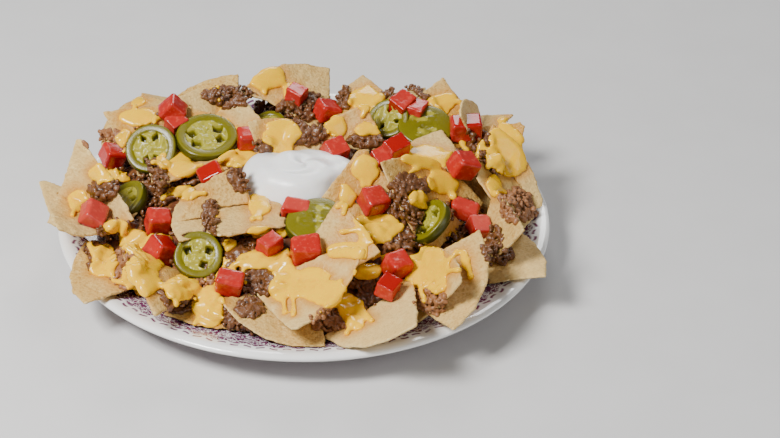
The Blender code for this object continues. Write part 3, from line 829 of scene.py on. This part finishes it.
def make_tomatoes(finish):
    rng = np.random.default_rng(3)
    names = sorted(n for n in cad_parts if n.startswith("tomato_"))
    pale = {"tomato_right_pale": 0.9, "tomato_on_cream": 0.6, "tomato_left": 0.5}
    for seed, name in enumerate(names):
        form, skin = tomato_form(node_form(name), seed)
        tone = np.full(len(skin), pale.get(name, 0.25 * rng.random()))
        title = "diced_" + name
        make_piece(title, form, finish, "tomato", [name], KEEP_MOST, skin=skin, tone=tone)
    forms, skins = [], []
    for seed, (size, place, turn) in enumerate(MORE_TOMATO, len(names)):
        vertices, triangles = primitive(bmesh.ops.create_cube, size=1)
        vertices = vertices * (1 + 0.12 * rng.uniform(-1, 1, vertices.shape)) * np.array(size) * MM
        vertices = vertices @ turned(turn[2], turn[0], turn[1]).T + np.array(place) * RADIUS
        form, skin = tomato_form((vertices, triangles), seed)
        forms.append(form)
        skins.append(skin)
    skins = np.concatenate(skins)
    tone = np.full(len(skins), 0.15)
    make_piece("diced_tomato_more", joined(forms), finish, "tomato", [], KEEP_MOST,
               skin=skins, tone=tone)
    return forms


CLOSED_SLICES = ("slice_front", "slice_back_right")  # cut from a pepper's end


def pepper_form(radius, thickness, closed, seed):
    """A slice across a pepper, lying flat: skin, wall, seed chambers and a seedy core."""
    rings, sides = 34, 96
    angles = np.arange(sides) * math.tau / sides
    reach = np.linspace(0.02, 1, rings)
    grid_reach, grid_angle = np.meshgrid(reach, angles, indexing="ij")
    flat = np.stack([grid_reach * np.cos(grid_angle), grid_reach * np.sin(grid_angle),
                     np.zeros_like(grid_reach)], axis=2).reshape(-1, 3) * radius
    r, a = grid_reach.ravel(), grid_angle.ravel()
    wobble = 1 + 0.05 * noise(flat + seed * 0.05, 9 * MM, seed)
    chambers = 3 + seed % 3
    opening = np.zeros(len(r))
    for k in range(chambers):
        towards = math.tau * (k + 0.3 * math.sin(3 * k + seed)) / chambers + seed
        away = np.abs((a - towards + math.pi) % math.tau - math.pi)
        along = (r - 0.47) / 0.21
        width = (0.28 - 0.1 * (seed % 2)) * np.clip(1 - np.abs(along), 0, 1) ** 0.8 * (0.5 + 0.7 * r)
        opening = np.maximum(opening, np.clip((width - away * r) / 0.07, 0, 1))
    if closed:
        opening *= 0
    core = np.clip((0.68 - r) / 0.05, 0, 1) * (1 - opening)
    if closed:
        core *= np.clip(0.25 + 0.8 * noise(flat, 4.0 * MM, seed + 9), 0, 1)
        near = np.clip(1.1 - r / 0.5, 0, 1)
        pits = near * np.clip(noise(flat, 3.0 * MM, seed + 2) - 0.15, 0, 1)
        relief = 0.30 * np.sqrt(np.clip(1 - r**2, 0, 1)) - 0.30 * pits
    else:
        relief = 0.04 * np.sin(np.clip((1 - r) / 0.3, 0, 1) * math.pi)
        relief -= 0.05 * np.clip((0.72 - r) / 0.05, 0, 1)
    seeds = core * 0.16 * noise(flat, 1.9 * MM, seed + 5)
    edge = -0.42 * np.clip((r - 0.93) / 0.07, 0, 1) ** 2
    top = thickness * (0.5 + relief + seeds + edge - 0.8 * opening)
    bottom = -thickness * (0.5 + edge)
    flat *= wobble[:, None]
    upper, lower = flat.copy(), flat.copy()
    upper[:, 2] = top
    lower[:, 2] = bottom
    count = rings * sides
    vertices = np.concatenate([upper, lower, [[0, 0, top[0]], [0, 0, bottom[0]]]])
    triangles = []
    for i in range(rings - 1):
        for j in range(sides):
            k = (j + 1) % sides
            p, q = i * sides + j, i * sides + k
            s, t = p + sides, q + sides
            triangles += [(p, s, t), (p, t, q)]
            triangles += [(count + t, count + s, count + p), (count + q, count + t, count + p)]
    outer = (rings - 1) * sides
    for j in range(sides):
        k = (j + 1) % sides
        triangles += [(2 * count, j, k), (2 * count + 1, count + k, count + j)]
        triangles += [(outer + j, count + outer + j, count + outer + k)]
        triangles += [(outer + j, count + outer + k, outer + k)]
    skin = np.clip((r - 0.93) / 0.05, 0, 1)
    traits = [np.concatenate([values, values, values[:1], values[:1]]) for values in (skin, core)]
    return (vertices, np.array(triangles)), *traits


def slice_axes(vertices, triangles):
    """Centre of a slice and its axes: two in its plane and the one across it, which points up."""
    a, b, c = (vertices[triangles[:, i]] for i in range(3))
    face = np.cross(b - a, c - a)
    size = np.maximum(np.linalg.norm(face, axis=1), 1e-15)
    _, vectors = np.linalg.eigh((face / size[:, None] ** 0.5).T @ (face / size[:, None] ** 0.5))
    across = vectors[:, 2] * (1 if vectors[2, 2] > 0 else -1)
    side = np.cross(across, (0, 0, 1))
    side /= np.linalg.norm(side)
    axes = np.stack([side, np.cross(across, side), across], axis=1)
    local = vertices @ axes
    return axes @ ((local.max(0) + local.min(0)) / 2), axes


def make_peppers(finish):
    for seed, name in enumerate(sorted(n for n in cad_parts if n.startswith("slice_"))):
        vertices, triangles = node_form(name)
        centre, axes = slice_axes(vertices, triangles)
        local = (vertices - centre) @ axes
        extent = local.max(0) - local.min(0)
        radius = max(extent[0], extent[1]) / 2
        thickness = extent[2]
        form, skin, core = pepper_form(radius, thickness, name in CLOSED_SLICES, seed)
        form = (form[0] @ axes.T + centre, form[1])
        title = "pepper_" + name
        crease = hollows(form, 3)
        make_piece(title, form, finish, "pepper", [name], KEEP_MOST,
                   skin=skin, core=core, crease=crease)


def make_cream(finish):
    vertices, triangles = voxel(node_form("sour_cream"), CREAM_VOXEL)
    vertices = smoothed(vertices, triangles, 14)
    form = vertices, triangles
    normals = normals_of(form)
    centre = (vertices.max(0) + vertices.min(0)) / 2
    offset = vertices - centre
    angle = np.arctan2(offset[:, 1], offset[:, 0])
    reach = np.hypot(offset[:, 0], offset[:, 1]) / (20 * MM)
    swirl = np.sin(angle * 2 + 5.5 * reach + 1.5 * noise(vertices, 18 * MM, 4))
    lift = 0.8 * swirl * np.clip(normals[:, 2] + 0.4, 0, 1) + 0.5 * noise(vertices, 9 * MM, 8)
    vertices = vertices + MM * (1.2 + lift)[:, None] * normals
    make_piece("cream_dollop", (vertices, triangles), finish, "sour_cream", ["sour_cream"])


# ---------------------------------------------------------------- what lies on the chips

SAUCED = ("under", "core")  # what the sauce clings to
FILLED_BACK, FILLED_FRONT = 0.9, 0.84  # shares of the plate's radius that the beef fills


class Sight:
    """Finds points on the heap, along the camera's view or straight down."""

    def __init__(self, eye, forms):
        self.eye = eye
        self.owner = []
        vertices, triangles = [], []
        for kind, (points, faces) in forms:
            triangles += (faces + len(vertices)).tolist()
            vertices += points.tolist()
            self.owner += [kind] * len(faces)
        self.tree = BVHTree.FromPolygons(vertices, triangles)

    def cast(self, start, direction):
        point, normal, index, _ = self.tree.ray_cast(start, direction)
        if point is None:
            return None
        if normal.dot(direction) > 0:
            normal = -normal
        return np.array(point), np.array(normal), self.owner[index]

    def seen(self, u, v):
        target = Vector((u * RADIUS, v * RADIUS, PLATE_TOP))
        return self.cast(self.eye, (target - self.eye).normalized())

    def above(self, u, v):
        return self.cast(Vector((u * RADIUS, v * RADIUS, 1)), Vector((0, 0, -1)))

    def hidden(self, point, normal):
        """Whether the camera doesn't see this point."""
        start = Vector(point + normal * 1.5 * MM)
        return self.tree.ray_cast(start, (self.eye - start).normalized())[0] is not None


def patch_points(patch, spacing, rng):
    """Jittered points that fill an uneven oval, with how far in each one is (1 at its middle)."""
    u, v, half_u, half_v = patch
    grow = 1.4
    xs = np.arange(-grow * half_u, grow * half_u, spacing)
    ys = np.arange(-grow * half_v, grow * half_v, spacing)
    x, y = (g.ravel() for g in np.meshgrid(xs, ys))
    x = x + rng.uniform(-0.3, 0.3, len(x)) * spacing
    y = y + rng.uniform(-0.3, 0.3, len(y)) * spacing
    spots = np.stack([u + x, v + y, np.zeros(len(x))], 1)
    ragged = 0.75 * noise(spots, 0.11, 3) + 0.45 * noise(spots, 0.045, 4)
    inward = 1 - (x / half_u) ** 2 - (y / half_v) ** 2 + ragged
    return [(u + a, v + b, c) for a, b, c in zip(x, y, inward) if c > 0]


def strewn_points(number, reach, sizes, spacing, rng):
    """Points of small patches all over the heap, out to a share of the plate's radius."""
    for _ in range(number):
        angle, out = rng.uniform(0, math.tau), reach * math.sqrt(rng.random())
        size = rng.uniform(*sizes, 2)
        middle = out * math.cos(angle), out * math.sin(angle)
        yield from patch_points((*middle, *size), spacing, rng)


def blobs(balls, level=2):
    """One form of many balls, which a voxel remesh melts together."""
    shape, faces = ball(level)
    forms = [(shape * radius + centre, faces) for centre, radius in balls]
    return joined(forms)


def run_of_sauce(sight, patch, rng):
    """Points along an uneven trickle that leaves a patch of sauce, with their widths."""
    u, v, half_u, half_v = patch
    heading = rng.uniform(-math.pi, 0.15 * math.pi)
    length = rng.uniform(1.0, 1.6)
    bend = rng.uniform(-0.9, 0.9)
    run = []
    for step in range(26):
        share = step / 25
        turn = heading + bend * share
        du, dv = half_u * length * share * math.cos(turn), half_v * length * share * math.sin(turn)
        hit = sight.seen(u + du, v + dv)
        if hit and hit[2] in SAUCED:
            width = 2.0 - 0.6 * share + 0.5 * max(0, share - 0.8) / 0.2
            run.append((hit[0] + hit[1] * 0.4 * MM, width * MM))
    return run


def make_sauce(sight, finish):
    """Cheese sauce poured in patches with trickles. Also gives points inside it."""
    rng = np.random.default_rng(11)
    balls = []

    def pour(hit, inward):
        radius = MM * (0.9 + 0.95 * min(inward, 1) ** 0.6) * rng.uniform(0.9, 1.12)
        balls.append((hit[0] + hit[1] * 0.2 * radius, radius))

    for patch in SAUCE:
        for u, v, inward in patch_points(patch, 0.0095, rng):
            hit = sight.seen(u, v)
            if hit and hit[2] in SAUCED:
                pour(hit, inward)
        for _ in range(1 + int(9 * (patch[2] + patch[3]))):
            balls.extend(run_of_sauce(sight, patch, rng))
    for u, v, inward in strewn_points(30, 0.85, (0.05, 0.12), 0.0105, rng):
        hit = sight.above(u, v)
        if hit and hit[2] in SAUCED and sight.hidden(hit[0], hit[1]):
            pour(hit, inward)
    form = voxel(blobs(balls), SAUCE_VOXEL)
    vertices = smoothed(form[0], form[1], 6)
    form = vertices, form[1]
    crease = hollows(form, 3)
    make_piece("cheese_sauce", form, finish, "filling", [], KEEP_HALF, crease=crease)
    return np.array([b[0] for b in balls])


def crumbs(places, rng, level=2):
    """Small uneven lumps, one for each place and size."""
    shape, faces = ball(level)
    forms = []
    for number, (centre, radius) in enumerate(places):
        lumpy = 1 + 0.38 * noise(shape + number * 1.7, 0.75, 5)
        stretch = rng.uniform(0.7, 1.25, 3)
        turn = turned(*rng.uniform(0, 360, 3))
        forms.append(((shape * lumpy[:, None] * stretch) @ turn.T * radius + centre, faces))
    return joined(forms)


def make_meat(sight, finish, name, patches, spread, seed, gaps=False):
    """Crumbs in the given patches, strewn behind, and, with gaps, wherever the filling shows."""
    rng = np.random.default_rng(seed)
    lumps, loose = [], []

    def drop(hit, inward):
        if not hit or hit[2] in ("topping", "plate"):
            return
        height = MM * 3.6 * min(max(inward, 0), 3) ** 0.7 * rng.random()
        radius = MM * rng.uniform(0.8, 1.75)
        target = loose if rng.random() < 0.25 else lumps
        target.append((hit[0] + hit[1] * (height + 0.3 * radius), radius))

    for patch in patches:
        for u, v, inward in patch_points(patch, 0.0135, rng):
            drop(sight.seen(u, v), inward)
    if gaps:
        for u, v, inward in patch_points((0, 0, 1.1, 1.2), 0.017, rng):
            hit = sight.seen(u, v)
            if hit and hit[2] == "core" and noise(hit[0][None], 14 * MM, 6)[0] > -0.25:
                drop(hit, 0.5)
            if not hit or hit[2] != "plate":
                continue
            edge = FILLED_BACK if hit[0][1] > 0.1 * RADIUS else FILLED_FRONT
            if math.hypot(hit[0][0], hit[0][1]) < edge * RADIUS:
                for _ in range(3):
                    drop((hit[0], hit[1], "core"), 2.5)
    for u, v, inward in strewn_points(spread, 0.82, (0.04, 0.10), 0.019, rng):
        hit = sight.above(u, v)
        if hit and sight.hidden(hit[0], hit[1]):
            drop(hit, inward)
    vertices, triangles = voxel(crumbs(lumps, rng), MEAT_VOXEL)
    normals = normals_of((vertices, triangles))
    relief = 0.35 * noise(vertices, 1.9 * MM, 1) + 0.3 * noise(vertices, 1.1 * MM, 2)
    vertices = vertices + MM * relief[:, None] * normals
    form = joined([(vertices, triangles), crumbs(loose, rng)])
    crease = hollows(form, 2)
    tone = noise(form[0], 3.5 * MM, 9) * 0.5 + 0.5
    make_piece(name, form, finish, "filling", [], KEEP_HALF, crease=crease, tone=tone)
    return form


def make_core(finish):
    """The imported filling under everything, a little smaller than its CAD solid."""
    vertices, triangles = voxel(node_form("heap"), CORE_VOXEL)
    vertices = smoothed(vertices, triangles, 3)
    normals = normals_of((vertices, triangles))
    relief = 0.9 * noise(vertices, 5 * MM, 3) + 0.5 * noise(vertices, 2.4 * MM, 7) - 0.9
    vertices = vertices + MM * relief[:, None] * normals
    vertices[:, 2] = np.maximum(vertices[:, 2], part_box("heap")[0].z)
    form = vertices, triangles
    crease = hollows(form, 2)
    make_piece("filling_core", form, finish, "filling", ["heap"], KEEP_HALF, crease=crease)


def main():
    camera = make_camera()
    make_stage()
    make_plate(china_finish())
    chips = make_chips()
    extra_tomatoes = make_tomatoes(tomato_finish())
    make_peppers(pepper_finish())
    make_cream(cream_finish())
    make_core(core_finish())

    under = [("under", form) for _, form, _, _ in chips] + [("core", node_form("heap"))]
    names = [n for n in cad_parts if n.split("_")[0] in ("slice", "tomato", "sour")]
    toppings = [("topping", node_form(n)) for n in names]
    toppings += [("topping", form) for form in extra_tomatoes]
    plate = [("plate", node_form("plate"))]
    sight = Sight(camera.location, under + toppings + plate)
    beef = make_meat(sight, beef_finish(), "ground_beef", BEEF, 40, 21, gaps=True)
    beans = make_meat(sight, bean_finish(), "bean_mash", BEANS, 16, 22)
    covered = [("under", beef), ("under", beans)]
    sight = Sight(camera.location, under + toppings + plate + covered)
    sauce = make_sauce(sight, sauce_finish())

    finish_chips(chips, sauce, chip_finish())


main()
